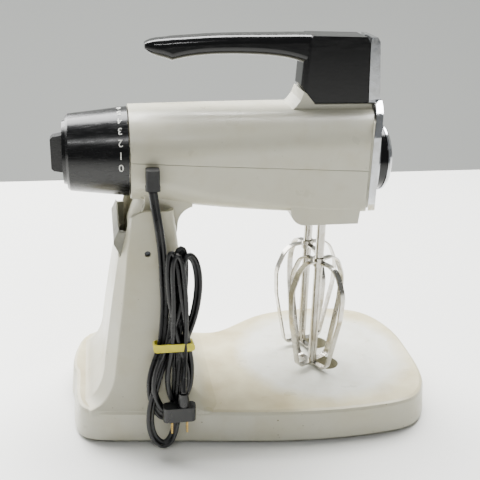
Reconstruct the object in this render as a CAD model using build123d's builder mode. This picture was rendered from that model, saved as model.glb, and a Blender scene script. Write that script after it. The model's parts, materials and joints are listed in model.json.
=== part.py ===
# A two-beater kitchen stand mixer: cream stand, tilting motor head, twist speed dial.
# Frame: +X towards the front of the mixer, +Y away from the side that carries the cord,
# +Z up. The origin is on the floor under the middle of the mixer without its cord.
# Everything is in millimetres.
from math import cos, hypot, pi, radians, sin, tan
import os

from build123d import *

os.makedirs("parts", exist_ok=True)

# ---------------------------------------------------------------- driving dimensions
FOOT_H = 3.5            # rubber feet lift the base this far off the table
BASE_TOP = 31.5         # height of the flat bowl platform
BASE_DRAFT = 5          # degrees that the base wall leans in
WALL = 3.0              # stand shell thickness
LENGTH = 336.0          # dial grip to front of base
HALF_W = 98.0           # half the base width
BEATER_X = 62.5         # both beater axes
BEATER_GAP = 42.0       # distance between the beater axes
PIVOT_X, PIVOT_Z = -92.5, 166.0   # tilt hinge
PIN_R = 2.6
SKIN = 2.5              # head housing thickness
HEAD_REAR = -104.0
HEAD_HALF = 45.0        # half width of the head at its front
FRONT_R = 112.0         # plan radius of the head's front
FRONT_X = 102.5         # head front at the middle, behind the chrome trim
SEAM_REAR, SEAM_FRONT = 241.0, 229.5   # seam heights at the two ends of the head
SEAM_GAP = 0.4
BLOCK_Z = 183.5         # underside of the gear block that holds the beaters
AXIS_Z = 238.0          # motor axis
DIAL_Z = 239.0
DIAL_R1, DIAL_R2 = 37.5, 32.0
DIAL_X1, DIAL_X2 = -106.0, -153.0
BEATER_R = 33.0
BEATER_HUB = 141.0
BEATER_LOW = 36.0
STRIP_W, STRIP_T = 5.6, 1.4
SHAFT_R = 3.9
CORD_D = 7.4


def save(part, name):
    part.label = name
    export_step(part, f"parts/{name}.step")


# ---------------------------------------------------------------- stand
# Plan of the base: straight on the cord side, waisted beside the pillar on the other.
BASE_PLAN = [
    (-158.5, 0), (-156.5, -45), (-148, -67), (-132, -72.8), (-95, -78), (-50, -84.4), (0, -91.4),
    (60, -95.5), (110, -93), (143, -83), (158, -62), (164.5, -30), (165.5, 0),
    (164.5, 30), (158, 56), (143, 80), (110, 93.5), (68, 94.8), (30, 86), (2, 68),
    (-22, 55.5), (-50, 60), (-100, 66), (-146, 65), (-156, 45),
]


def base_plan(grow):
    """The points of the base plan, each moved outwards by grow."""
    points = []
    for i, (x, y) in enumerate(BASE_PLAN):
        x0, y0 = BASE_PLAN[i - 1]
        x1, y1 = BASE_PLAN[(i + 1) % len(BASE_PLAN)]
        run = hypot(x1 - x0, y1 - y0)
        points.append((x + grow * (y1 - y0) / run, y - grow * (x1 - x0) / run))
    return points


def base_blank(levels):
    """The base as a block through a list of (height, outward offset)."""
    with BuildPart() as blank:
        for z, grow in levels:
            with BuildSketch(Plane.XY.offset(z)):
                with BuildLine():
                    Spline(*base_plan(grow), periodic=True)
                make_face()
        loft(ruled=True)
    return blank.part


# Pillar sections: height, rear x, front x, cord-side half width at the rear and
# front, far-side half width at the rear and front, and how far the bevels between
# its rear and its sides reach forwards.
PILLAR = [
    (31.0, -150, -34, 70, 86, 66, 55, 5),
    (38.0, -140.5, -49, 69, 82, 65, 57, 8),
    (50.0, -134, -57.5, 66.8, 77.8, 64, 57.5, 9),
    (66.0, -131, -61, 64, 73.4, 62, 57.5, 9.5),
    (90.0, -127.5, -62, 61, 68, 60, 56, 9),
    (125.0, -122, -63, 56, 61, 55.5, 53.5, 8.5),
    (165.0, -115, -66, 51, 53, 51, 50, 6),
    (203.0, -107, -70, 46, 46, 46, 46, 4),
]
BEVEL_Y = 16.0          # how far the rear bevels reach across
EDGE_ROUND, FRONT_ROUND = 4.0, 11.0
FOOT_LEVELS = 4         # sections that belong to the flared foot
# Below the platform's rounded edge the near side runs on, flush with the base wall.
SILL = (26.0, -150, -34, 71, 87, 66, 55, 5)


def pillar_section(level, inset):
    """One rounded section of the pillar, on its own plane."""
    z, rear, front, near_rear, near_front, far_rear, far_front, bevel = level
    back, ahead = rear + inset, front - inset
    near, far = -near_rear + inset, far_rear - inset
    with BuildSketch(Plane.XY.offset(z)) as section:
        with BuildLine():
            FilletPolyline(
                (back, near + BEVEL_Y), (back + bevel, near), (ahead, -near_front + inset),
                (ahead, far_front - inset), (back + bevel, far), (back, far - BEVEL_Y),
                radius=[EDGE_ROUND, EDGE_ROUND - 1, FRONT_ROUND - inset,
                        FRONT_ROUND - inset, EDGE_ROUND - 1, EDGE_ROUND],
                close=True)
        make_face()
    return section.sketch


def pillar_blank(inset):
    """The pillar as a block, every wall moved in by inset: a curved foot, then a
    straight-sided tower."""
    with BuildPart() as blank:
        if inset == 0:
            loft([pillar_section(SILL, 0), pillar_section(PILLAR[0], 0)], ruled=True)
        loft([pillar_section(level, inset) for level in PILLAR[:FOOT_LEVELS]])
        loft([pillar_section(level, inset) for level in PILLAR[FOOT_LEVELS - 1:]], ruled=True)
    return blank.part


LEVER_LOW, LEVER_HALF = 158.5, 39.3   # foot of the release lever's slot, half its width
NOTCH_HALF = 37.0
HOLES_X, HOLES_Y, HOLE_R = 77.0, 19.5, 11.5

with BuildPart() as stand_shell:
    add(base_blank([(FOOT_H, 2.5), (BASE_TOP - 3.5, 0.2), (BASE_TOP - 1, -1.0), (BASE_TOP, -3.4)]))
    add(pillar_blank(0))
    # the cheeks are rounded off at the rear, where the head swings down as it tilts
    with BuildSketch(Plane.XZ):
        with Locations((0, 50)):
            Rectangle(2 * LENGTH, 200)
        with BuildLine():
            Polyline((-90.5, 201.3), (-60, 199.2), (-60, 149), (-125, 149), (-111.4, 180.4))
            ThreePointArc((-111.4, 180.4), (-105.3, 195.2), (-90.5, 201.3))
        make_face()
    extrude(amount=2 * HALF_W, both=True, mode=Mode.INTERSECT)
    add(base_blank([(FOOT_H - 1, -WALL), (BASE_TOP - WALL, -WALL - 1.5)]), mode=Mode.SUBTRACT)
    add(pillar_blank(WALL), mode=Mode.SUBTRACT)
    # slot for the release lever: the rear wall stops here, below the tilting bracket
    with BuildSketch(Plane.YZ.offset(-130)):
        with Locations((0, (LEVER_LOW + 210) / 2)):
            Rectangle(2 * LEVER_HALF + 1.4, 210 - LEVER_LOW)
    extrude(amount=28, mode=Mode.SUBTRACT)
    # notch in the front wall that the bracket's flare swings through
    with BuildSketch(Plane.YZ.offset(-80)):
        with Locations((0, 194)):
            Rectangle(2 * NOTCH_HALF, 32)
    extrude(amount=22, mode=Mode.SUBTRACT)
    # hinge pin holes, bowl turntable holes
    with BuildSketch(Plane.XZ):
        with Locations((PIVOT_X, PIVOT_Z)):
            Circle(PIN_R)
    extrude(amount=HALF_W, both=True, mode=Mode.SUBTRACT)
    with BuildSketch(Plane.XY.offset(BASE_TOP - 2 * WALL)):
        with Locations((HOLES_X, HOLES_Y), (HOLES_X, -HOLES_Y)):
            Circle(HOLE_R)
    extrude(amount=4 * WALL, mode=Mode.SUBTRACT)
save(stand_shell.part, "stand_shell")

with BuildPart() as bottom_plate:
    add(base_blank([(FOOT_H + 0.5, -WALL - 0.6), (FOOT_H + 2.5, -WALL - 0.7)]))
save(bottom_plate.part, "bottom_plate")

FEET = [(-138, -50), (-138, 48), (118, -72), (118, 72)]
with BuildPart() as rubber_feet:
    with BuildSketch():
        with Locations(*FEET):
            Circle(9)
    extrude(amount=FOOT_H + 0.5)
save(rubber_feet.part, "rubber_feet")

with BuildPart() as base_screws:
    with BuildSketch(Plane.XY.offset(FOOT_H - 0.7)):
        with Locations((-90, -40), (-90, 36), (30, -60), (30, 54)):
            Circle(3.2)
    extrude(amount=1.2)
save(base_screws.part, "base_screws")

# socket cups that hold the bowl's turntable pin, one in each hole
with BuildPart() as turntable_cups:
    with BuildSketch(Plane.XY.offset(FOOT_H + 2.5)):
        with Locations((HOLES_X, HOLES_Y), (HOLES_X, -HOLES_Y)):
            Circle(HOLE_R + 2)
    extrude(amount=BASE_TOP - WALL - FOOT_H - 2.5)
    with BuildSketch(Plane.XY.offset(FOOT_H + 5)):
        with Locations((HOLES_X, HOLES_Y), (HOLES_X, -HOLES_Y)):
            Circle(HOLE_R)
    extrude(amount=BASE_TOP, mode=Mode.SUBTRACT)
save(turntable_cups.part, "turntable_cups")

with BuildPart() as hinge_pin:
    with BuildSketch(Plane.XZ):
        with Locations((PIVOT_X, PIVOT_Z)):
            Circle(PIN_R)
    extrude(amount=49, both=True)
save(hinge_pin.part, "hinge_pin")

# ---------------------------------------------------------------- release lever
# Side outline of the wedge: its upper face is ribbed for the thumb, its lower face
# slopes back under it.
WEDGE = [(-114.3, 181), (-115.4, 182.6), (-119.6, 173.6), (-119.6, 170.6), (-114.3, 160)]
SPRING_Z = 138.0
with BuildPart() as release_lever:
    with BuildSketch(Plane.XZ):
        with BuildLine():
            Polyline(*WEDGE, close=True)
        make_face()
    extrude(amount=LEVER_HALF, both=True)
    # end flanges beside the bracket, then a tail that reaches down to the spring
    for side in (-1, 1):
        with Locations((-111.5, side * (LEVER_HALF - 1.3), 170.5)):
            Box(6, 2.6, 21)
    with Locations((-112.6, 0, 161.7)):
        Box(4.8, 20, 3)
    with Locations((-111.3, 0, 148.4)):
        Box(2.2, 20, 29.6)
save(release_lever.part, "release_lever")

SPRING_R, SPRING_WIRE = 3.2, 0.5
with BuildPart() as lever_spring:
    with BuildLine() as coil:
        Helix(pitch=2.6, height=16.4, radius=SPRING_R, center=(-109.3, 0, SPRING_Z), direction=(1, 0, 0))
    with BuildSketch(coil.line ^ 0):
        Circle(SPRING_WIRE)
    sweep(is_frenet=True)
save(lever_spring.part, "lever_spring")

SEAT_HALF = 50.0
with BuildPart() as spring_seat:
    with BuildSketch(Plane.YZ.offset(-92)):
        with Locations((0, SPRING_Z)):
            Rectangle(SEAT_HALF * 2, 9)
    extrude(amount=3)
save(spring_seat.part, "spring_seat")

# ---------------------------------------------------------------- head housing
# Sections across the head: x, half width, top, bottom, top corner, bottom corner.
HEAD = [
    (HEAD_REAR, 42.5, 276.5, 203.0, 34.0, 30.0),
    (-40.0, 44.5, 277.0, 198.5, 32.0, 18.0),
    (20.0, HEAD_HALF, 277.0, 195.5, 29.0, 8.0),
    (FRONT_X + 6, HEAD_HALF, 277.0, 193.0, 27.0, 6.0),
]
BLOCK_REAR, BLOCK_FRONT, BLOCK_TOP = 41.0, 87.5, 240.0
SHOULDER_R = 13.0       # hollow curve where the gear block leaves the head's underside


def head_blank(inset):
    """The head without its gear block, every wall moved in by inset."""
    with BuildPart() as blank:
        for x, half, top, low, r_top, r_low in HEAD:
            with BuildSketch(Plane.YZ.offset(x)):
                with BuildLine():
                    FilletPolyline(
                        (-half + inset, low + inset), (half - inset, low + inset),
                        (half - inset, top - inset), (-half + inset, top - inset),
                        radius=[max(r_low - inset, 2), max(r_low - inset, 2),
                                r_top - inset, r_top - inset], close=True)
                make_face()
        loft()
        # the gear block hangs below the front of the head
        with BuildSketch(Plane.XZ):
            with BuildLine():
                rear, front = BLOCK_REAR + inset, BLOCK_FRONT - inset
                low, shoulder = BLOCK_Z + inset, BLOCK_Z + SHOULDER_R + inset
                RadiusArc((rear, low), (rear - SHOULDER_R, shoulder), SHOULDER_R)
                Polyline((rear - SHOULDER_R, shoulder), (rear - SHOULDER_R, BLOCK_TOP),
                         (front + 5.5, BLOCK_TOP), (front, low), (rear, low))
            make_face()
        extrude(amount=HEAD_HALF - 0.15 - inset, both=True)
        # rounded front in plan
        with BuildSketch():
            with Locations((FRONT_X - FRONT_R - inset, 0)):
                Circle(FRONT_R)
            with Locations(((HEAD_REAR + inset + 60) / 2, 0)):
                Rectangle(60 - HEAD_REAR - inset, 120)
        extrude(amount=400, mode=Mode.INTERSECT)
    return blank.part


def seam_side(offset_z, above):
    """Everything above or below the sloping seam, moved up by offset_z."""
    far = 500 if above else 0
    with BuildPart() as side:
        with BuildSketch(Plane.XZ):
            with BuildLine():
                Polyline((HEAD_REAR - 40, SEAM_REAR + offset_z + 2), (FRONT_X + 40, SEAM_FRONT + offset_z - 2),
                         (FRONT_X + 40, far), (HEAD_REAR - 40, far), close=True)
            make_face()
        extrude(amount=80, both=True)
    return side.part


HANDLE_SCREWS = [(62, 0), (92, 0)]
SCREW_R = 2.0


def head_half(above):
    """The hollow half of the head above or below the seam."""
    side = seam_side(SEAM_GAP / 2 if above else -SEAM_GAP / 2, above)
    with BuildPart() as hollow:
        add(head_blank(SKIN))
        add(side, mode=Mode.INTERSECT)
    with BuildPart() as half:
        add(head_blank(0))
        add(side, mode=Mode.INTERSECT)
        add(hollow.part, mode=Mode.SUBTRACT)
    return half.part


# raised saddle that carries the handle column
SADDLE = [(30, 275.5), (34, 279), (38, 284.5), (40.5, 291.4), (42.5, 290.5), (50.5, 281), (100, 281), (100, 275.5)]
HANDLE_HALF = 15.0

with BuildPart() as upper_housing:
    add(head_half(True))
    with BuildSketch(Plane.XZ):
        with BuildLine():
            Polyline(*SADDLE, close=True)
        make_face()
    extrude(amount=HANDLE_HALF + 3, both=True)
    with BuildSketch(Plane.XY.offset(250)):
        with Locations((FRONT_X - FRONT_R, 0)):
            Circle(FRONT_R)
        with Locations(((HEAD_REAR + 60) / 2, 0)):
            Rectangle(60 - HEAD_REAR, 120)
    extrude(amount=60, both=True, mode=Mode.INTERSECT)
    with BuildSketch(Plane.YZ.offset(HEAD_REAR - 1)):
        with Locations((0, DIAL_Z)):
            Circle(5)
    extrude(amount=6, mode=Mode.SUBTRACT)
    with BuildSketch(Plane.XY.offset(265)):
        with Locations(*HANDLE_SCREWS):
            Circle(SCREW_R)
    extrude(amount=20, mode=Mode.SUBTRACT)
save(upper_housing.part, "upper_housing")

GLAND_X = -87.5
with BuildPart() as lower_housing:
    add(head_half(False))
    with BuildSketch(Plane.XY.offset(BLOCK_Z - 1)):
        with Locations((BEATER_X, BEATER_GAP / 2), (BEATER_X, -BEATER_GAP / 2)):
            Circle(10)
    extrude(amount=SKIN + 2, mode=Mode.SUBTRACT)
    with BuildSketch(Plane.YZ.offset(HEAD_REAR - 1)):
        with Locations((0, DIAL_Z)):
            Circle(5)
    extrude(amount=6, mode=Mode.SUBTRACT)
save(lower_housing.part, "lower_housing")

# hinge bracket between the pillar's cheeks
BRACKET_HALF = 36.0
with BuildPart() as tilt_bracket:
    with BuildSketch(Plane.XZ):
        with BuildLine():
            Polyline((-66.4, 184), (-66.9, 178.8), (-75.6, 178.8), (-79.6, 169.5))
            ThreePointArc((-79.6, 169.5), (PIVOT_X, PIVOT_Z - 13.5), (-105.5, 170))
            Polyline((-105.5, 170), (-93.5, 202), (-93.5, 215), (-54, 215), (-54, 200.4))
            ThreePointArc((-54, 200.4), (-62.6, 195), (-66.4, 184))
        make_face()
    extrude(amount=BRACKET_HALF, both=True)
    with BuildSketch(Plane.XZ):
        with BuildLine():
            Polyline((-101.5, 140), (-101.5, 170), (-90.5, 197.5), (-72, 197.5), (-72, 182),
                     (-82, 182), (-82, 140), close=True)
        make_face()
    extrude(amount=BRACKET_HALF - 6, both=True, mode=Mode.SUBTRACT)
    with BuildSketch(Plane.XZ):
        with Locations((PIVOT_X, PIVOT_Z)):
            Circle(PIN_R + 0.05)
    extrude(amount=HALF_W, both=True, mode=Mode.SUBTRACT)
    add(head_blank(0), mode=Mode.SUBTRACT)
save(tilt_bracket.part, "tilt_bracket")

# ---------------------------------------------------------------- handle
# Grip sections: x, half width, top, underside. The tip is cut away underneath.
TIP = [(-89.5, 6.5, 328.6, 324.4), (-86, 9, 330.6, 321.6), (-79, 11, 332.3, 318.6), (-68, 12, 333.5, 315.2)]
GRIP = [(-68, 12, 333.5, 315.2), (-58, 12.5, 334.1, 317.6), (-34, 13, 335.6, 320.2),
        (0, 13.5, 336.4, 320.2), (30, 14, 336.8, 317), (50, 14.5, 336.6, 310)]
COLUMN = [(40.5, 322), (39.4, 300), (39.2, 295.5), (42.7, 291), (50.7, 281.4), (97.4, 281.4),
          (96.4, 300), (94.8, 331), (92, 335.8), (46, 336.5)]


def grip_loft(sections):
    """A smooth bar through rounded sections."""
    with BuildPart() as bar:
        for x, half, top, low in sections:
            with BuildSketch(Plane.YZ.offset(x)):
                with Locations((0, (top + low) / 2)):
                    RectangleRounded(2 * half, top - low, min(6.5, (top - low) / 2 - 0.5))
        loft()
    return bar.part


with BuildPart() as handle:
    add(grip_loft(TIP))
    add(grip_loft(GRIP))
    with BuildSketch(Plane.XZ):
        with BuildLine():
            Polyline(*COLUMN, close=True)
        make_face()
    extrude(amount=HANDLE_HALF, both=True)
    fillet(handle.edges().filter_by(lambda e: abs(e.center().Y) > HANDLE_HALF - 0.1
                                    and e.center().X < 41 and e.length > 15), radius=5)
    with BuildSketch(Plane.XY.offset(270)):
        with Locations(*HANDLE_SCREWS):
            Circle(SCREW_R)
    extrude(amount=26, mode=Mode.SUBTRACT)
save(handle.part, "handle")

with BuildPart() as handle_screws:
    with BuildSketch(Plane.XY.offset(271.5)):
        with Locations(*HANDLE_SCREWS):
            Circle(SCREW_R)
    extrude(amount=24)
    with BuildSketch(Plane.XY.offset(271.5)):
        with Locations(*HANDLE_SCREWS):
            Circle(3.8)
    extrude(amount=2.5)
save(handle_screws.part, "handle_screws")

# ---------------------------------------------------------------- front trim
TRIM_OUT = 7.5          # how far the trim stands off the head's front


def front_sheet(inner, outer, low, high, half):
    """A curved sheet that follows the head's rounded front."""
    with BuildPart() as sheet:
        with BuildSketch(Plane.XY.offset(low)):
            with Locations((FRONT_X - FRONT_R, 0)):
                Circle(FRONT_R + outer)
                Circle(FRONT_R + inner, mode=Mode.SUBTRACT)
            with Locations((FRONT_X, 0)):
                Rectangle(70, 2 * half, mode=Mode.INTERSECT)
        extrude(amount=high - low)
    return sheet.part


with BuildPart() as gasket:
    add(front_sheet(0.2, 1.6, 197.5, 271, 44))
save(gasket.part, "front_gasket")

# The plate follows the rounded front. Above the head a strip runs up the handle column.
STRIP = [(97.9, 281.7), (96.9, 300), (95.3, 331.2), (96.4, 335.9), (101, 335.6), (103.4, 332),
         (107.8, 284), (107.8, 281.7)]
with BuildPart() as front_trim:
    with BuildSketch(Plane.YZ.offset(60)):
        with BuildLine():
            FilletPolyline((-37, 191), (37, 191), (45, 203), (44.5, 262), (36, 276), (17, 284),
                           (-17, 284), (-36, 276), (-44.5, 262), (-45, 203),
                           radius=[6, 6, 12, 14, 18, 5, 5, 18, 14, 12], close=True)
        make_face()
    extrude(amount=60)
    with BuildSketch():
        with Locations((FRONT_X - FRONT_R, 0)):
            Circle(FRONT_R + TRIM_OUT)
            Circle(FRONT_R + 1.8, mode=Mode.SUBTRACT)
    extrude(amount=400, mode=Mode.INTERSECT)
    with BuildSketch(Plane.XZ):
        with BuildLine():
            Polyline(*STRIP, close=True)
        make_face()
    extrude(amount=HANDLE_HALF + 0.5, both=True)
save(front_trim.part, "front_trim")

MEDAL_Z, BEZEL_X = 229.5, 115.6
FLANGE = 1.5            # thickness of the curved flange behind the medallion


def ring(r_out, r_in, x_from, x_to):
    """A flat ring or disc about the front medallion's axis."""
    with BuildPart() as one:
        with BuildSketch(Plane.YZ.offset(x_from)):
            with Locations((0, MEDAL_Z)):
                Circle(r_out)
                if r_in:
                    Circle(r_in, mode=Mode.SUBTRACT)
        extrude(amount=x_to - x_from)
    return one.part


with BuildPart() as medallion_back:
    add(front_sheet(TRIM_OUT, TRIM_OUT + FLANGE, MEDAL_Z - 40, MEDAL_Z + 40, 40))
    add(ring(31.5, 0, 60, 140), mode=Mode.INTERSECT)
save(medallion_back.part, "medallion_back")
with BuildPart() as medallion_band:
    add(ring(28.5, 0, 90, BEZEL_X))
    with BuildSketch():
        with Locations((FRONT_X - FRONT_R, 0)):
            Circle(FRONT_R + TRIM_OUT + FLANGE)
    extrude(amount=400, mode=Mode.SUBTRACT)
save(medallion_band.part, "medallion_band")
with BuildPart() as medallion_bezel:
    with BuildSketch(Plane.XZ):
        with BuildLine():
            Polyline((BEZEL_X, MEDAL_Z), (BEZEL_X, MEDAL_Z + 29.5), (BEZEL_X + 1.6, MEDAL_Z + 29.5),
                     (BEZEL_X + 4, MEDAL_Z + 27), (BEZEL_X + 4, MEDAL_Z + 23),
                     (BEZEL_X + 1.8, MEDAL_Z + 21.5), (BEZEL_X + 1.8, MEDAL_Z), close=True)
        make_face()
    revolve(axis=Axis((0, 0, MEDAL_Z), (1, 0, 0)))
save(medallion_bezel.part, "medallion_bezel")
with BuildPart() as medallion_centre:
    add(ring(21, 0, BEZEL_X + 1.8, BEZEL_X + 2.8))
save(medallion_centre.part, "medallion_centre")

# ---------------------------------------------------------------- speed dial
DIAL_AXIS = Axis((0, 0, DIAL_Z), (1, 0, 0))
with BuildPart() as dial:
    with BuildSketch(Plane.XZ):
        with BuildLine():
            Polyline((DIAL_X1 + 1, DIAL_Z), (DIAL_X1 + 1, DIAL_Z + 20), (DIAL_X1 - 3, DIAL_Z + 20),
                     (DIAL_X1 - 3, DIAL_Z + DIAL_R1 - 3), (DIAL_X1 + 1, DIAL_Z + DIAL_R1 - 3),
                     (DIAL_X1 + 1, DIAL_Z + DIAL_R1), (DIAL_X2, DIAL_Z + DIAL_R2), (DIAL_X2 - 2, DIAL_Z + DIAL_R2 - 2),
                     (DIAL_X2 - 2, DIAL_Z + 27), (DIAL_X2 - 5, DIAL_Z + 26), (DIAL_X2 - 5, DIAL_Z), close=True)
        make_face()
    revolve(axis=DIAL_AXIS)
save(dial.part, "speed_dial")
GRIP_END = -LENGTH / 2
with BuildPart() as dial_grip:
    with BuildSketch(Plane.XZ):
        with BuildLine():
            Polyline((DIAL_X2 - 5, DIAL_Z - 16), (DIAL_X2 - 5, DIAL_Z + 16), (GRIP_END + 2, DIAL_Z + 14.5),
                     (GRIP_END, DIAL_Z + 12.5), (GRIP_END, DIAL_Z - 12.5), (GRIP_END + 2, DIAL_Z - 14.5), close=True)
        make_face()
    extrude(amount=5.5, both=True)
save(dial_grip.part, "dial_grip")
with BuildPart() as dial_shaft:
    with BuildSketch(Plane.YZ.offset(DIAL_X1 + 1)):
        with Locations((0, DIAL_Z)):
            Circle(4.9)
    extrude(amount=7)
save(dial_shaft.part, "dial_shaft")

# ---------------------------------------------------------------- motor and drive


def along_x(pieces):
    """Rings and discs about the motor axis: (outer radius, inner radius, from x, to x)."""
    with BuildPart() as group:
        for r_out, r_in, x_from, x_to in pieces:
            with BuildSketch(Plane.YZ.offset(x_from)):
                with Locations((0, AXIS_Z)):
                    Circle(r_out)
                    if r_in:
                        Circle(r_in, mode=Mode.SUBTRACT)
            extrude(amount=x_to - x_from)
    return group.part


MOTOR_SHAFT_R = 3.0
save(along_x([(MOTOR_SHAFT_R, 0, -90, 88)]), "motor_shaft")
save(along_x([(17.5, MOTOR_SHAFT_R, -60, -22)]), "armature_core")
save(along_x([(14.5, MOTOR_SHAFT_R, -68, -60), (14.5, MOTOR_SHAFT_R, -22, -14)]), "armature_windings")
save(along_x([(9, MOTOR_SHAFT_R, -82, -68.5)]), "commutator")
save(along_x([(4.6, MOTOR_SHAFT_R, 46, 79)]), "worm")
save(along_x([(7, MOTOR_SHAFT_R + 0.05, 80, 87), (7, MOTOR_SHAFT_R + 0.05, 22, 28)]), "front_bearings")
save(along_x([(7, MOTOR_SHAFT_R + 0.05, -89, -84)]), "rear_bearing")
save(along_x([(26, 20, -69, -61), (26, 20, -21, -13)]), "field_coils")
save(along_x([(31, 7, -91.5, -89)]), "rear_motor_plate")
save(along_x([(33, 7, 28, 31)]), "front_motor_plate")
save(along_x([(22, 5.2, -97.5, -95)]), "speed_switch")

with BuildPart() as field_core:
    with BuildSketch(Plane.YZ.offset(-60)):
        with Locations((0, AXIS_Z)):
            RectangleRounded(58, 54, 12)
            Circle(18.3, mode=Mode.SUBTRACT)
    extrude(amount=38)
save(field_core.part, "field_core")

with BuildPart() as brushes:
    with BuildSketch(Plane.XZ):
        with Locations((-75.5, AXIS_Z)):
            Rectangle(5, 5)
    extrude(amount=20, both=True)
    with BuildSketch(Plane.XZ):
        with Locations((-75.5, AXIS_Z)):
            Rectangle(40, 40)
    extrude(amount=9.3, both=True, mode=Mode.SUBTRACT)
save(brushes.part, "carbon_brushes")
with BuildPart() as brush_holders:
    with BuildSketch(Plane.XZ):
        with Locations((-75.5, AXIS_Z)):
            Rectangle(9, 9)
            Rectangle(5, 5, mode=Mode.SUBTRACT)
    extrude(amount=28, both=True)
    with BuildSketch(Plane.XZ):
        with Locations((-75.5, AXIS_Z)):
            Rectangle(40, 40)
    extrude(amount=12, both=True, mode=Mode.SUBTRACT)
save(brush_holders.part, "brush_holders")

with BuildPart() as cooling_fan:
    with BuildSketch(Plane.YZ.offset(-8)):
        with Locations((0, AXIS_Z)):
            Circle(9)
            Circle(MOTOR_SHAFT_R, mode=Mode.SUBTRACT)
            with PolarLocations(16, 9):
                Rectangle(17, 1.6, rotation=0)
    extrude(amount=9)
save(cooling_fan.part, "cooling_fan")

GEAR_LOW, GEAR_HIGH = 232.0, 244.0
WHEEL_R = BEATER_GAP / 2 - 5.2
SPINDLE_R = 7.0
with BuildPart() as gear_plate:
    with BuildSketch(Plane.XY.offset(208)):
        with Locations((BEATER_X, 0)):
            RectangleRounded(50, 78, 6)
        with Locations((BEATER_X, BEATER_GAP / 2), (BEATER_X, -BEATER_GAP / 2)):
            Circle(SPINDLE_R + 0.6, mode=Mode.SUBTRACT)
    extrude(amount=3)
save(gear_plate.part, "gear_plate")
with BuildPart() as spindle_bushes:
    with BuildSketch(Plane.XY.offset(BLOCK_Z - 1)):
        with Locations((BEATER_X, BEATER_GAP / 2), (BEATER_X, -BEATER_GAP / 2)):
            Circle(9.95)
            Circle(SPINDLE_R + 0.05, mode=Mode.SUBTRACT)
    extrude(amount=10)
save(spindle_bushes.part, "spindle_bushes")

for side, sign in (("left", 1), ("right", -1)):
    y = sign * BEATER_GAP / 2
    with BuildPart() as wheel:
        with BuildSketch(Plane.XY.offset(GEAR_LOW)):
            with Locations((BEATER_X, y)):
                Circle(WHEEL_R)
                Circle(SPINDLE_R, mode=Mode.SUBTRACT)
        extrude(amount=GEAR_HIGH - GEAR_LOW)
    save(wheel.part, f"worm_wheel_{side}")
    with BuildPart() as spindle:
        with BuildSketch(Plane.XY.offset(BLOCK_Z + 0.5)):
            with Locations((BEATER_X, y)):
                Circle(SPINDLE_R)
                Circle(SHAFT_R + 0.1, mode=Mode.SUBTRACT)
        extrude(amount=GEAR_HIGH + 6 - BLOCK_Z)
    save(spindle.part, f"spindle_{side}")

# ---------------------------------------------------------------- beaters
# Half of one loop, from the hub out, down and in under the shaft: (radius, height),
# with the bend radius at each corner.
LOOP = [((22, BEATER_HUB), 16), ((BEATER_R, BEATER_HUB - 24), 30), ((BEATER_R - 1.5, 92), 40), ((19.5, BEATER_LOW), 8)]


def loop_blank(turn, drop):
    """One flat-strip loop, both of its limbs, turned about the beater's axis."""
    right = [((r, z - drop), bend) for (r, z), bend in LOOP]
    left = [((-r, z - drop), bend) for (r, z), bend in reversed(LOOP)]
    points, bends = zip(*right, *left)
    with BuildPart() as strip:
        with BuildSketch(Plane.XZ.rotated((0, 0, turn))):
            with BuildLine():
                FilletPolyline(*points, radius=list(bends), close=True)
            make_face()
            offset(amount=-STRIP_T, mode=Mode.SUBTRACT)
        extrude(amount=STRIP_W / 2, both=True)
    return strip.part


BEATER_TURN = {"left": 15.0, "right": 30.0}
for side, sign in (("left", 1), ("right", -1)):
    y = sign * BEATER_GAP / 2
    with BuildPart() as beater:
        add(loop_blank(BEATER_TURN[side], 0))
        add(loop_blank(90 + BEATER_TURN[side], 1.6))
        with BuildSketch(Plane.XY.offset(BEATER_LOW - 1)):
            Circle(SHAFT_R)
        extrude(amount=190)
        with BuildSketch(Plane.XY.offset(BEATER_HUB - 6)):
            Circle(SHAFT_R + 1.6)
        extrude(amount=8)
    save(beater.part.moved(Location((BEATER_X, y, 0))), f"beater_{side}")

# ---------------------------------------------------------------- mains lead
GLAND_Y = -50.0
with BuildPart() as cord_gland:
    with BuildSketch(Plane.XY.offset(224)):
        with Locations((GLAND_X, GLAND_Y)):
            RectangleRounded(11, 11.5, 2)
    extrude(amount=14)
    with BuildSketch(Plane.XY.offset(220.5)):
        with Locations((GLAND_X, GLAND_Y)):
            RectangleRounded(12, 9.5, 3)
    extrude(amount=3.5)
    with BuildSketch(Plane.XZ.offset(HEAD_HALF - 4)):
        with Locations((GLAND_X, 231)):
            Rectangle(6, 6)
    extrude(amount=6)
    add(head_blank(0), mode=Mode.SUBTRACT)
save(cord_gland.part, "cord_gland")

# The lead hangs from the gland, lies on the pillar and runs into the tied hank.
CORD_ROUTE = [
    (-87.5, -50.5, 219.7), (-86, -52, 207), (-84, -55, 194), (-82, -57, 180),
    (-80.8, -60, 163), (-80.4, -63.4, 145), (-79.8, -67, 126),
]


def route_radii(points):
    """The largest bend radius that each corner's two runs allow."""
    radii = []
    for before, here, after in zip(points, points[1:], points[2:]):
        run_in, run_out = Vector(here) - Vector(before), Vector(after) - Vector(here)
        turn = radians(run_in.get_angle(run_out))
        radii.append(0.45 * min(run_in.length, run_out.length) / tan(turn / 2))
    return radii


print("cord bend radii", [round(r) for r in route_radii(CORD_ROUTE)])
with BuildPart() as cord_lead:
    with BuildLine() as lead_path:
        FilletPolyline(*CORD_ROUTE, radius=route_radii(CORD_ROUTE))
    with BuildSketch(lead_path.line ^ 0):
        Circle(CORD_D / 2)
    sweep()
save(cord_lead.part, "cord_lead")
LEAD_LENGTH = sum(edge.length for edge in lead_path.edges())
print("cord lead volume", round(cord_lead.part.volume), "expected", round(pi * CORD_D ** 2 / 4 * LEAD_LENGTH))

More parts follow.
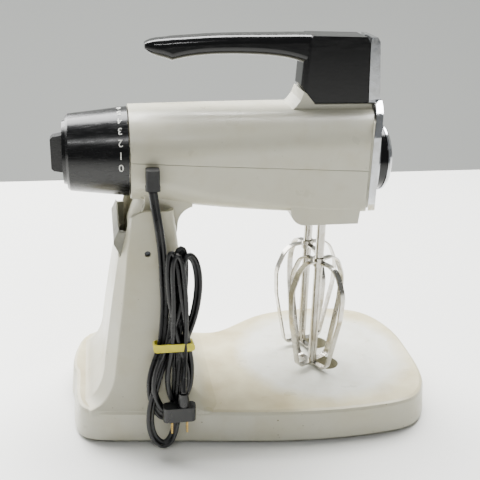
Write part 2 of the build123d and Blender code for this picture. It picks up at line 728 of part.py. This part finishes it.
# The hank leans on the pillar's side. Its outline, x and height up the slope.
LEAN = Plane(origin=(0, -58.3, 176), x_dir=(1, 0, 0), z_dir=(0, -cos(radians(10)), sin(radians(10))))
HANK = [(-77.5, -5), (-68, -0.5), (-58, -5), (-53, -20), (-53.5, -36), (-58.5, -74), (-59, -88), (-55, -97),
        (-56, -124), (-61, -140), (-71, -165), (-83, -172), (-93, -164), (-97, -146), (-96.5, -110),
        (-90, -93), (-89, -79), (-83.5, -74), (-76, -56)]
HANK_DEEP = 11.0
with BuildPart() as cord_hank:
    with BuildSketch(LEAN):
        with BuildLine():
            Spline(*HANK, periodic=True)
        make_face()
    extrude(amount=HANK_DEEP)
    chamfer(cord_hank.edges(), 2.5)
save(cord_hank.part, "cord_hank")

with BuildPart() as tie_band:
    with BuildSketch(LEAN.offset(-1.4)):
        with Locations((-74, -84)):
            RectangleRounded(34, 6.5, 2.5)
    extrude(amount=HANK_DEEP + 2.8)
    add(cord_hank.part, mode=Mode.SUBTRACT)
save(tie_band.part, "tie_band")

PLUG_X, PLUG_Y, PLUG_Z = -71.5, -100.5, 44.0
NECK_X = -68.0
with BuildPart() as plug_body:
    with BuildSketch(Plane.XY.offset(PLUG_Z - 6.5)):
        with Locations((PLUG_X, PLUG_Y)):
            RectangleRounded(27, 11, 4)
    extrude(amount=13)
    with BuildSketch(Plane.XY.offset(PLUG_Z + 6.5)):
        with Locations((NECK_X, PLUG_Y)):
            Circle(5)
    with BuildSketch(Plane.XY.offset(PLUG_Z + 18)):
        with Locations((NECK_X, PLUG_Y)):
            Circle(4)
    loft()
save(plug_body.part, "plug_body")

with BuildPart() as plug_blades:
    with BuildSketch(Plane.XY.offset(PLUG_Z - 6.5 - 12)):
        with Locations((PLUG_X - 6.35, PLUG_Y), (PLUG_X + 6.35, PLUG_Y)):
            Rectangle(1.5, 6.3)
    extrude(amount=12)
save(plug_blades.part, "plug_blades")
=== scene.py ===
# %% [markdown]
# A kitchen stand mixer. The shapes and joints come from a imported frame. This script
# gives each moulded, plated and rubber surface its finish, and makes the two things that
# are easier to describe as surfaces: the mains lead and the numbers round the dial.

# %% Load the frame and measure it
import json

import bpy
import numpy as np
from mathutils import Matrix, Vector


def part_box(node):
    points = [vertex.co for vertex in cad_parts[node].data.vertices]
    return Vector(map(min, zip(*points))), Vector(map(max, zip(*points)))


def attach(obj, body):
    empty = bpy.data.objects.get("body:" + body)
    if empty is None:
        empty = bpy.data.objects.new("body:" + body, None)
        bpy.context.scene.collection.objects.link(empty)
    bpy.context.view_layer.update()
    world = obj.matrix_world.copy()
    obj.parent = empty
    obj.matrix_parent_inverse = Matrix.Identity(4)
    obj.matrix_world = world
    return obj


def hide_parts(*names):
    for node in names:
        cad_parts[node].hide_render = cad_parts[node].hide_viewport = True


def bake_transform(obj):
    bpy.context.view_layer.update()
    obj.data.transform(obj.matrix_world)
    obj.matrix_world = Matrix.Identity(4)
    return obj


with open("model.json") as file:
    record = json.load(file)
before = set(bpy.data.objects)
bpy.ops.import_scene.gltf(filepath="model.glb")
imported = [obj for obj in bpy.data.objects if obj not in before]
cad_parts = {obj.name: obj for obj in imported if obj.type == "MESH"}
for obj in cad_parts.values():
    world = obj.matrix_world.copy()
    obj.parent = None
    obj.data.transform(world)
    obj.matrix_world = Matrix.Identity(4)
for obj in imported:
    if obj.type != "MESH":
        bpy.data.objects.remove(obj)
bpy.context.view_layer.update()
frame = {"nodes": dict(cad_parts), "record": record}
nodes = frame["nodes"]
MM = 0.001

# %% [markdown]
# Colours are written as the hex values a paint chart would give. Shaders work in linear
# light, so one function turns the one into the other. A second small function adds a
# node with its settings and links, which keeps every material to a few readable lines.

# %% Helpers for colours and nodes


def rgb(code):
    """A hex colour as linear red, green, blue and alpha."""
    value = np.array([int(code[i:i + 2], 16) for i in (1, 3, 5)]) / 255
    linear = np.where(value <= 0.04045, value / 12.92, ((value + 0.055) / 1.055) ** 2.4)
    return (*map(float, linear), 1.0)


def add_node(material, kind, settings=None, **inputs):
    """A node of that kind. A setting is an attribute; an input is a value or a socket,
    named by its label with underscores, or by its number as in _0."""
    made = material.node_tree.nodes.new(kind)
    for name, value in (settings or {}).items():
        setattr(made, name, value)
    for name, value in inputs.items():
        label = int(name[1:]) if name[1:].isdigit() else name.replace("_", " ")
        socket = made.inputs[label]
        if isinstance(value, bpy.types.NodeSocket):
            material.node_tree.links.new(value, socket)
        else:
            socket.default_value = value
    return made


def new_material(name, **settings):
    """A material with a Principled shader whose plain numbers are set on its sockets."""
    material = bpy.data.materials.new(name)
    material.use_nodes = True
    shader = material.node_tree.nodes["Principled BSDF"]
    for label, value in settings.items():
        shader.inputs[label.replace("_", " ")].default_value = value
    return material, shader


def link(material, socket, shader, label):
    """Drive the shader's input of that label from a socket."""
    material.node_tree.links.new(socket, shader.inputs[label])


# %% [markdown]
# Every surface is built from noise that is measured in millimetres on the object, so a
# pattern keeps its real size on each piece. A ramp turns the noise into the share of a
# second colour, a roughness or a height.

# %% Helpers for patterns of a real size


def place(material):
    """Where a point is on the object, in metres."""
    return add_node(material, "ShaderNodeTexCoord").outputs["Object"]


def noise(material, size_mm, detail=3, stretch=(1, 1, 1)):
    """Noise whose spots are about size_mm across, drawn out along the axes by stretch."""
    moved = add_node(material, "ShaderNodeMapping", Vector=place(material), Scale=stretch)
    made = add_node(material, "ShaderNodeTexNoise", Vector=moved.outputs[0],
                    Scale=1 / (size_mm * MM), Detail=detail)
    return made.outputs["Fac"]


def ramp(material, factor, low, high, dark=0.0, bright=1.0):
    """A number that goes from dark to bright as factor goes from low to high."""
    made = add_node(material, "ShaderNodeMapRange", Value=factor, From_Min=low, From_Max=high,
                    To_Min=dark, To_Max=bright)
    return made.outputs[0]


def math(material, operation, first, second=0.0):
    """One arithmetic step between two numbers."""
    made = add_node(material, "ShaderNodeMath", {"operation": operation}, _0=first, _1=second)
    return made.outputs[0]


def blend_colours(material, factor, first, second):
    """first where factor is 0, second where it is 1."""
    made = add_node(material, "ShaderNodeMix", {"data_type": "RGBA"}, _0=factor, _6=first, _7=second)
    return made.outputs[2]


def bump(material, shader, height, depth_mm, strength=1.0):
    """Raise the surface by height times depth_mm."""
    made = add_node(material, "ShaderNodeBump", Height=height, Distance=depth_mm * MM, Strength=strength)
    link(material, made.outputs[0], shader, "Normal")


# %% [markdown]
# The body is injection-moulded ABS, cream when new. Fifty years of light and cooking
# have yellowed it unevenly, and there are brown specks where something splashed. Shade
# is painted darker into its inside corners. ABS has an index near 1.53 and a soft shine,
# so its roughness is low, with a fine orange peel from the mould.

# %% Aged cream ABS
# the darkest colour is both the brown of the splash specks and the painted shade in the inside corners
CREAM, YELLOWED, GRIME_AND_SHADE = rgb("#c0beae"), rgb("#b2ab8b"), rgb("#675e44")
DULLED = rgb("#a89c78")
# the second size is how far, in mm, the occlusion reaches for the painted corner shade
SPLASH_MM, CORNER_SHADE_MM, ORANGE_PEEL_MM = 7, 9, 0.9


def aged_cream(name, yellow=0.5, specks=0.62):
    """Cream ABS, yellowed in patches by up to the share yellow. Splashes show where a
    broad noise is above specks, so a higher number means fewer of them."""
    material, shader = new_material(name, IOR=1.53)
    broad = noise(material, 60, 4)
    cloud = noise(material, 14, 5)
    colour = blend_colours(material, ramp(material, broad, 0.35, 0.65, 0, yellow), CREAM, YELLOWED)
    colour = blend_colours(material, ramp(material, cloud, 0.52, 0.75, 0, 0.22), colour, DULLED)
    # splashes: sparse small spots, only where a broad patch allows them
    spots = add_node(material, "ShaderNodeTexVoronoi", Vector=place(material),
                     Scale=1 / (SPLASH_MM * MM))
    dots = ramp(material, spots.outputs["Distance"], 0.06, 0.13, 1, 0)
    patch = ramp(material, noise(material, 25, 2), specks, specks + 0.06)
    colour = blend_colours(material, math(material, "MULTIPLY", dots, patch), colour, GRIME_AND_SHADE)
    # painted shade: occluded inside corners are darkened towards the splash brown, in uneven patches
    corner = add_node(material, "ShaderNodeAmbientOcclusion", {"samples": 4},
                      Distance=CORNER_SHADE_MM * MM)
    corner_shade = ramp(material, corner.outputs["AO"], 0.35, 0.8, 0.5, 0)
    corner_shade = math(material, "MULTIPLY", corner_shade, ramp(material, noise(material, 8, 4), 0.35, 0.7, 0.4, 1))
    colour = blend_colours(material, corner_shade, colour, GRIME_AND_SHADE)
    link(material, colour, shader, "Base Color")
    link(material, ramp(material, noise(material, 22, 5), 0.3, 0.7, 0.26, 0.42), shader, "Roughness")
    bump(material, shader, noise(material, ORANGE_PEEL_MM, 2), 0.02, 0.5)
    return material


housing_cream = aged_cream("housing_cream_abs", 0.35, 0.66)
stand_cream = aged_cream("stand_cream_abs", 0.45, 0.6)

# %% [markdown]
# The bowl platform has yellowed more than the walls, except under the turntable, which
# shaded a round patch. A ring of distances from the turntable's centre drives that, and
# fine scratches and ring marks show where bowls have turned.

# %% Yellowed platform with its clean disc
CLEAN_TO_MM, STAINED_FROM_MM, EDGE_WOBBLE_MM = 70, 88, 3
PLATFORM_TOP_MM, PILLAR_FROM_MM = 45, 60
STAINED, STAINED_DARK = rgb("#c9c1a0"), rgb("#b0a480")
CLEAN, CLEAN_DULL = rgb("#cfcfc5"), rgb("#bab8a6")
BOWL_MARK = rgb("#8d8055")


def platform_cream():
    """Aged cream, with another colour on what faces up and is as low as the platform."""
    material = aged_cream("platform_cream_abs", 0.5, 0.56)
    shader = material.node_tree.nodes["Principled BSDF"]
    walls = shader.inputs["Base Color"].links[0].from_socket
    low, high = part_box("turntable_cups")
    centre = [(low[0] + high[0]) / 2, 0.0, 0.0]
    flat = add_node(material, "ShaderNodeVectorMath", {"operation": "MULTIPLY"},
                    _0=place(material), _1=(1, 1, 0))
    away = add_node(material, "ShaderNodeVectorMath", {"operation": "DISTANCE"},
                    _0=flat.outputs[0], _1=centre)
    wobble = ramp(material, noise(material, 18, 3), 0.3, 0.7, -EDGE_WOBBLE_MM * MM, EDGE_WOBBLE_MM * MM)
    radius = math(material, "ADD", away.outputs["Value"], wobble)
    outside = ramp(material, radius, CLEAN_TO_MM * MM, STAINED_FROM_MM * MM)
    # the share of a point that is the platform's top: it faces up and it is low
    surface = add_node(material, "ShaderNodeNewGeometry")
    facing = add_node(material, "ShaderNodeSeparateXYZ", _0=surface.outputs["Normal"])
    top = ramp(material, facing.outputs[2], 0.75, 0.97)
    height = add_node(material, "ShaderNodeSeparateXYZ", _0=place(material))
    low_down = ramp(material, height.outputs[2], PILLAR_FROM_MM * MM, PLATFORM_TOP_MM * MM)
    top = math(material, "MULTIPLY", top, low_down)
    stains = ramp(material, noise(material, 30, 5), 0.35, 0.7)
    stained = blend_colours(material, stains, STAINED, STAINED_DARK)
    haze = ramp(material, noise(material, 12, 5), 0.45, 0.75, 0, 0.5)
    clean = blend_colours(material, haze, CLEAN, CLEAN_DULL)
    colour = blend_colours(material, outside, clean, stained)
    marks = ramp(material, noise(material, 3.5, 6, (0.25, 1.6, 1)), 0.66, 0.74, 0, 0.45)
    colour = blend_colours(material, marks, colour, BOWL_MARK)
    link(material, blend_colours(material, top, walls, colour), shader, "Base Color")
    return material


platform = platform_cream()

# %% [markdown]
# The handle and the dial are black phenolic, moulded in polished steel: almost a mirror,
# with faint wiping scratches. The plated front is nickel-chrome over brass, and the
# beaters are chromed steel strip, dulled and browned by washing.

# %% Black gloss, chrome and tarnished strip


def gloss_black(name, smooth=0.1):
    """Polished black phenolic. smooth is its roughness where nothing has scratched it."""
    material, shader = new_material(name, IOR=1.45)
    scratches = noise(material, 1.6, 6, (0.12, 1, 1))
    link(material, ramp(material, scratches, 0.4, 0.75, smooth, smooth + 0.14), shader, "Roughness")
    dust = ramp(material, noise(material, 6, 5), 0.6, 0.8, 0, 0.04)
    link(material, blend_colours(material, dust, rgb("#020203"), rgb("#5c5a54")), shader, "Base Color")
    return material


def chrome(name, colour, stain, rough, amount):
    """Plated metal under a film of stain, which covers at most the share amount."""
    material, shader = new_material(name, Metallic=1.0)
    film = ramp(material, noise(material, 7, 6), 0.42, 0.72, 0, amount)
    link(material, blend_colours(material, film, rgb(colour), rgb(stain)), shader, "Base Color")
    worn = ramp(material, noise(material, 3, 5), 0.35, 0.75, rough, rough + 0.18)
    link(material, worn, shader, "Roughness")
    bump(material, shader, noise(material, 0.8, 3), 0.012, 0.5)
    return material


handle_black = gloss_black("handle_black_phenolic")
dial_black = gloss_black("dial_black_phenolic", 0.2)
front_chrome = chrome("front_nickel_chrome", "#c9cbcf", "#8b8778", 0.07, 0.4)
beater_chrome = chrome("beater_worn_chrome", "#bdbab2", "#857b68", 0.14, 0.55)

# %% [markdown]
# The lead is flexible vinyl, the tie is a natural-rubber band, and the feet are moulded
# rubber. All are insulators with an index near 1.5, and they differ in how rough the
# mould or the extruder left them.

# %% Vinyl, rubber and small plastics
MOULD_GRAIN_MM, MOULD_GRAIN_DEEP_MM = 0.8, 0.03


def moulded(name, colour, second, rough):
    """Plain moulded or extruded plastic: two close colours and a fine grain."""
    material, shader = new_material(name, IOR=1.5)
    tone = ramp(material, noise(material, 9, 4), 0.35, 0.7)
    link(material, blend_colours(material, tone, rgb(colour), rgb(second)), shader, "Base Color")
    shine = ramp(material, noise(material, 5, 4), 0.3, 0.7, rough, rough + 0.15)
    link(material, shine, shader, "Roughness")
    bump(material, shader, noise(material, MOULD_GRAIN_MM, 2), MOULD_GRAIN_DEEP_MM, 0.6)
    return material


def worked_metal(name, colour, second, rough, lines=(1, 1, 8)):
    """Drawn, turned or plated metal with fine lines across the given axis."""
    material, shader = new_material(name, Metallic=1.0)
    tone = ramp(material, noise(material, 4, 5, lines), 0.35, 0.7)
    link(material, blend_colours(material, tone, rgb(colour), rgb(second)), shader, "Base Color")
    link(material, ramp(material, tone, 0, 1, rough, rough + 0.15), shader, "Roughness")
    return material


# %% [markdown]
# Each material slot of the CAD has one finish. A few nodes share a slot but not a look:
# the stand has the yellowed platform, and the handle is glossier than the dial.

# %% The finish of each slot and each CAD node
FINISH = {
    "black_rubber": moulded("gland_black_rubber", "#0c0c0d", "#19191a", 0.5),
    "cord_vinyl": moulded("lead_black_vinyl", "#030304", "#0a0b0c", 0.24),
    "yellow_rubber": moulded("band_yellow_rubber", "#d8cf3a", "#c6b92a", 0.45),
    "grey_plastic": moulded("lever_grey_plastic", "#77766a", "#8a897c", 0.45),
    "base_sheet": moulded("base_black_board", "#141413", "#1d1c1a", 0.7),
    "phenolic_board": moulded("switch_brown_board", "#6a4527", "#7d5631", 0.55),
    "carbon": moulded("brush_carbon", "#17171a", "#222225", 0.6),
    "nylon_gear": moulded("gear_white_nylon", "#dcd8c6", "#cfc9b2", 0.4),
    "zinc_steel": worked_metal("zinc_plated_steel", "#a9a89f", "#8f8d80", 0.35),
    "dark_steel": worked_metal("oiled_steel", "#55565a", "#3f4043", 0.35),
    "lamination_steel": worked_metal("stacked_core_steel", "#6a6b6e", "#515255", 0.45, (40, 1, 1)),
    "copper_wire": worked_metal("enamelled_copper", "#a8562c", "#8a4120", 0.35, (12, 1, 1)),
    "bearing_bronze": worked_metal("sintered_bronze", "#9b7a42", "#7f6234", 0.45),
    "brass_blade": worked_metal("plug_brass", "#b79a5e", "#94793f", 0.3),
    "beater_chrome": beater_chrome,
    "chrome_plate": front_chrome,
    "black_plastic": dial_black,
    "cream_plastic": housing_cream,
}
BY_NODE = {
    "stand_shell": platform,
    "turntable_cups": stand_cream,
    "tilt_bracket": stand_cream,
    "handle": handle_black,
    "medallion_band": handle_black,
    "medallion_centre": handle_black,
}
slot_of = {row["node"]: row["material_slot"] for row in frame["record"]["subparts"]}
for name, made in nodes.items():
    made.data.materials.clear()
    made.data.materials.append(BY_NODE.get(name, FINISH[slot_of[name]]))
print(len(nodes), "CAD nodes have a finish")

# %% [markdown]
# The lead's mesh is made from a whole array of points, one row for each step along it.
# Each point is joined to the next in both directions, the columns wrap round to close
# the section, and the two end rows are filled.

# %% Turn a grid of points into a mesh


def skin(name, grid, material):
    """A mesh over grid[row, column, xyz]: quads between neighbours, wrapped round along
    the columns, with each end row filled."""
    rows, columns = grid.shape[:2]
    left = np.arange(rows * columns).reshape(rows, columns)
    right = np.roll(left, -1, 1)
    faces = np.stack([left[:-1], right[:-1], right[1:], left[1:]], -1).reshape(-1, 4).tolist()
    faces += [left[0, ::-1].tolist(), left[-1].tolist()]
    mesh = bpy.data.meshes.new(name)
    mesh.from_pydata(grid.reshape(-1, 3).tolist(), [], faces)
    mesh.shade_smooth()
    mesh.materials.append(material)
    made = bpy.data.objects.new(name, mesh)
    bpy.context.collection.objects.link(made)
    return made


# %% [markdown]
# The lead leaves the gland, lies down the side of the pillar, and the rest is folded
# into a hank that a rubber band holds. Its route is a list of given points: down
# the pillar, round each turn of the hank, and into the plug. The hank lies on the
# pillar's leaning side, so its points are given along that slope.

# %% The route of the lead, in mm
LEAD = [(-87.5, -50.5, 219.7), (-86, -52, 207), (-84, -55, 194), (-82, -57, 180),
        (-80.8, -60, 163), (-80.4, -63.4, 145), (-79.8, -67, 126)]
LEAN_ORIGIN = np.array([0, -58.3, 176])
LEAN = np.radians(10)
UP_SLOPE = np.array([0, np.sin(LEAN), np.cos(LEAN)])
OUTWARDS = np.array([0, -np.cos(LEAN), np.sin(LEAN)])


def on_lean(x, up, out):
    """A point of the hank: across, up the slope and out from the pillar, in mm."""
    return tuple(LEAN_ORIGIN + np.array([x, 0, 0]) + up * UP_SLOPE + out * OUTWARDS)


# across, up and out, in the order the flex runs: through the band, round a fold, and back
HANK = [
    (-83, -84, 3), (-93, -108, 4), (-94, -128, 5), (-87, -146, 5), (-78, -146, 5), (-72, -124, 4),
    (-72, -84, 3), (-65, -44, 3), (-63.5, -10, 3), (-66.5, -1, 4), (-70, -10, 4.5), (-71.5, -44, 3.5),
    (-77.5, -84, 4), (-88, -112, 8), (-96, -142, 9), (-94, -162, 9), (-84, -172, 9), (-75, -162, 8),
    (-72, -136, 7), (-69, -108, 5), (-66.5, -84, 4), (-56.5, -60, 5), (-52, -34, 5), (-54, -14, 5),
    (-60.5, -6, 6), (-65, -14, 7.5), (-66, -44, 7), (-72, -66, 7), (-80, -84, 7.5), (-90, -106, 8.5),
    (-91.5, -124, 9.5), (-84, -140, 9.5), (-72, -138, 9), (-62, -122, 8), (-59.5, -104, 7),
    (-62, -84, 6), (-68, -44, 8.5), (-71, -12, 9), (-74.5, -2, 8.5), (-77.5, -12, 8), (-77, -44, 7),
    (-69, -84, 7.5), (-63, -100, 8), (-62, -116, 9), (-68, -134, 8.5), (-77, -134, 7.5), (-81, -112, 8),
    (-75.5, -84, 8), (-73.5, -50, 9), (-75, -14, 10.5), (-70, -4, 10.5), (-65.5, -14, 10), (-63, -54, 9),
    (-64.5, -84, 8.5), (-66, -102, 11.5),
]
PLUG_TOP = [(-67.7, -95, 72), (-68, -100.5, 61.5)]
route = LEAD + [on_lean(*point) for point in HANK] + PLUG_TOP

# %% [markdown]
# One NURBS line goes through the route and rounds its corners. It is read back as
# points at even steps, which the section is carried along and the length comes from.

# %% The smooth line of the lead


def nurbs_points(points, step_mm=1.2):
    """Evenly spaced points, in metres, on the smooth NURBS line of those points in mm,
    and the line's length."""
    data = bpy.data.curves.new("route", "CURVE")
    data.dimensions = "3D"
    spline = data.splines.new("NURBS")
    spline.points.add(len(points) - 1)
    flat = np.c_[np.array(points) * MM, np.ones(len(points))]
    spline.points.foreach_set("co", flat.ravel())
    spline.order_u = 3
    spline.use_endpoint_u = True
    spline.resolution_u = 24
    carrier = bpy.data.objects.new("route", data)
    mesh = bpy.data.meshes.new_from_object(carrier)
    line = np.zeros(len(mesh.vertices) * 3)
    mesh.vertices.foreach_get("co", line)
    line = line.reshape(-1, 3)
    bpy.data.objects.remove(carrier)
    bpy.data.meshes.remove(mesh)
    run = np.r_[0, np.cumsum(np.linalg.norm(np.diff(line, axis=0), axis=1))]
    even = np.linspace(0, run[-1], int(run[-1] / (step_mm * MM)) + 2)
    return np.stack([np.interp(even, run, line[:, i]) for i in range(3)], 1), run[-1]


lead_line, lead_length = nurbs_points(route)
print("the lead is", round(lead_length, 3), "m long")

# %% [markdown]
# The lead is a flat twin flex: two round cores side by side in one vinyl skin, with a
# groove down the middle of each flat side.

# %% Carry the twin section along the lead
CORD_WIDE, CORD_THICK = 7.4 * MM, 4.0 * MM
SECTION_POINTS, GROOVE_LEAST = 28, 0.4


def turned_frames(line, first_side):
    """The side and the normal at each point. The side is carried from point to point
    and only made square to the line again, so the section never spins."""
    tangent = np.gradient(line, axis=0)
    tangent /= np.linalg.norm(tangent, axis=1, keepdims=True)
    side = np.zeros_like(line)
    previous = np.array(first_side, float)
    for i, along in enumerate(tangent):
        previous = previous - along * previous.dot(along)
        previous /= np.linalg.norm(previous)
        side[i] = previous
    return side, np.cross(tangent, side)


def twin_flex(name, line, first_side):
    """Two round cores joined by a thin web, carried along the line. At u across, from -1
    to 1, the half thickness is sqrt(1 - (2|u| - 1)^2) of a core's radius. Between the
    cores it is never under GROOVE_LEAST."""
    angle = np.linspace(0, 2 * np.pi, SECTION_POINTS, endpoint=False)
    across = np.cos(angle)
    core = np.sqrt(np.clip(1 - (2 * np.abs(across) - 1) ** 2, 0, 1))
    core = np.where(np.abs(across) < 0.5, np.maximum(core, GROOVE_LEAST), core)
    wide = CORD_WIDE / 2 * across
    thick = CORD_THICK / 2 * np.sign(np.sin(angle)) * core
    side, normal = turned_frames(line, first_side)
    flat = line[:, None] + side[:, None] * wide[None, :, None]
    grid = flat + normal[:, None] * thick[None, :, None]
    return skin(name, grid, FINISH["cord_vinyl"])


lead = twin_flex("mains_lead", lead_line, (1, 0, 0))
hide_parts("cord_lead", "cord_hank")
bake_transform(lead)

# %% [markdown]
# The numbers are printed on the dial near its wide end, upside down to someone in front
# of the mixer, because they are read from behind. Text becomes a flat mesh, which is
# then moved onto the cone at its own angle.

# %% A number as a mesh, and its place on the dial's cone
FIRST_NUMBER, NUMBER_STEP, LAST_NUMBER = 10.5, 15.65, 12
NUMBER_HEIGHT = 6.2 * MM
CAPITAL_SHARE = 0.72  # a digit's height as a share of its text size
INK_THICK, INK_LIFT = 0.08 * MM, 0.05 * MM
CONE_FALL_MM, CONE_LONG_MM = 5.5, 48.0
NUMBERS_BACK_MM = 6.5
ink = moulded("dial_white_ink", "#e4e4de", "#cfcfc6", 0.5)
dial_low, dial_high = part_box("speed_dial")
dial_axis_z = (dial_low[2] + dial_high[2]) / 2
dial_r = (dial_high[2] - dial_low[2]) / 2


def digit_mesh(text, material):
    """The text as a flat mesh in the XY plane, centred, with a little thickness."""
    curve = bpy.data.curves.new("digit", "FONT")
    curve.body = text
    curve.size = NUMBER_HEIGHT / CAPITAL_SHARE
    curve.align_x, curve.align_y = "CENTER", "CENTER"
    curve.extrude = INK_THICK
    carrier = bpy.data.objects.new("digit", curve)
    mesh = bpy.data.meshes.new_from_object(carrier)
    bpy.data.objects.remove(carrier)
    mesh.materials.clear()
    mesh.materials.append(material)
    return mesh


def on_dial(mesh, degrees, back_mm):
    """Set a flat mesh on the dial's cone, back_mm behind its wide end: its own right
    runs towards the rear and its own up runs down the near side."""
    cone = np.arctan2(CONE_FALL_MM, CONE_LONG_MM)
    angle = np.radians(degrees)
    out = np.array([0, -np.cos(angle), np.sin(angle)])
    down = np.array([0, -np.sin(angle), -np.cos(angle)])
    rear = np.array([-np.cos(cone), 0, 0]) - out * np.sin(cone)
    normal = np.cross(rear, down)
    on_axis = np.array([dial_high[0] - back_mm * MM, 0, dial_axis_z])
    centre = on_axis + out * (dial_r - back_mm * MM * np.tan(cone) + INK_LIFT)
    turned = np.r_[np.c_[rear, down, normal], [[0, 0, 0]]]
    mesh.transform(Matrix(np.c_[turned, np.r_[centre, 1]].tolist()))


# %% [markdown]
# The numbers run from 0, which is off, up to 12. FIRST_NUMBER is the angle of the 1, in
# degrees from the top of the dial towards the near side, and the 0 is one step before it.

# %% Numbers round the dial
for number in range(LAST_NUMBER + 1):
    label = digit_mesh(str(number), ink)
    on_dial(label, FIRST_NUMBER + NUMBER_STEP * (number - 1), NUMBERS_BACK_MM)
    digit = bpy.data.objects.new(f"dial_number_{number}", label)
    bpy.context.collection.objects.link(digit)
    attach(digit, "dial")

# %% [markdown]
# The room is a pale bench and a plain grey backdrop. The backdrop stands far enough
# back for the mixer to be seen from behind, and glows a little so that it stays even.

# %% Bench and backdrop
BENCH_END, WALL_Y = 0.66, 3.2


def sheet_of(name, corners, colour, rough, glow=0.0):
    """A flat sheet of the room over those corners, in one colour that may glow."""
    material, shader = new_material(name + "_paint", Base_Color=rgb(colour), Roughness=rough,
                                    Emission_Color=rgb(colour), Emission_Strength=glow)
    mesh = bpy.data.meshes.new(name)
    mesh.from_pydata(corners, [], [(0, 1, 2, 3)])
    mesh.materials.append(material)
    made = bpy.data.objects.new(name, mesh)
    bpy.context.collection.objects.link(made)
    return made


sheet_of("bench", [(-3, -2, 0), (3, -2, 0), (3, BENCH_END, 0), (-3, BENCH_END, 0)], "#eeeeea", 0.35)
sheet_of("backdrop", [(-6, WALL_Y, -3), (6, WALL_Y, -3), (6, WALL_Y, 4), (-6, WALL_Y, 4)],
         "#c9cbc7", 0.9, 0.62)

# %% [markdown]
# Broad soft lights above and behind the mixer leave its top bright and its near side in
# soft shade. A pair of ceiling tubes in front of it leaves thin lines on glossy sides.

# %% Lights


def area_light(name, place_at, aim, size, power):
    """A rectangular lamp at a place, facing aim. size is in metres and power in watts."""
    data = bpy.data.lights.new(name, "AREA")
    data.shape = "RECTANGLE"
    data.size, data.size_y = size
    data.energy = power
    lamp = bpy.data.objects.new(name, data)
    facing = (Vector(aim) - Vector(place_at)).to_track_quat("-Z", "Y").to_matrix()
    lamp.matrix_world = Matrix.Translation(place_at) @ facing.to_4x4()
    bpy.context.collection.objects.link(lamp)


area_light("window_above", (0.1, 0.75, 1.7), (0, 0.05, 0.15), (2.2, 1.0), 165)
area_light("window_behind", (-0.9, 1.1, 0.9), (0, 0, 0.15), (1.2, 0.9), 45)
for i, tube_y in enumerate((-1.25, -1.42)):
    area_light(f"ceiling_tube_{i + 1}", (-0.35, tube_y, 1.55), (-0.1, 0, 0.25), (0.7, 0.03), 3.2)
world = bpy.data.worlds.new("room")
bpy.context.scene.world = world
world.use_nodes = True
background = world.node_tree.nodes["Background"]
background.inputs["Color"].default_value = rgb("#dfe2e2")
background.inputs["Strength"].default_value = 0.36

# %% [markdown]
# The camera stands in front of the near side and looks down on the mixer. Its place and
# its three turns are written out, because it leans a little and a track-to aim cannot.

# %% Camera
CAMERA_AT = Vector((-0.1277, -0.6568, 0.4281))
YAW, PITCH, ROLL = np.radians([-10.46, 22.32, 1.75])
FOCAL_MM, SENSOR_MM = 60.0, 36.0
ahead = Vector((-np.sin(YAW) * np.cos(PITCH), np.cos(YAW) * np.cos(PITCH), -np.sin(PITCH)))
level = Vector((np.cos(YAW), np.sin(YAW), 0))
upright = level.cross(ahead)
right = level * np.cos(ROLL) + upright * np.sin(ROLL)
above = upright * np.cos(ROLL) - level * np.sin(ROLL)
camera_data = bpy.data.cameras.new("camera")
camera_data.lens = FOCAL_MM
camera_data.sensor_width = SENSOR_MM
camera = bpy.data.objects.new("camera", camera_data)
turn = Matrix((right, above, -ahead)).transposed().to_4x4()
camera.matrix_world = Matrix.Translation(CAMERA_AT) @ turn
bpy.context.collection.objects.link(camera)
bpy.context.scene.camera = camera
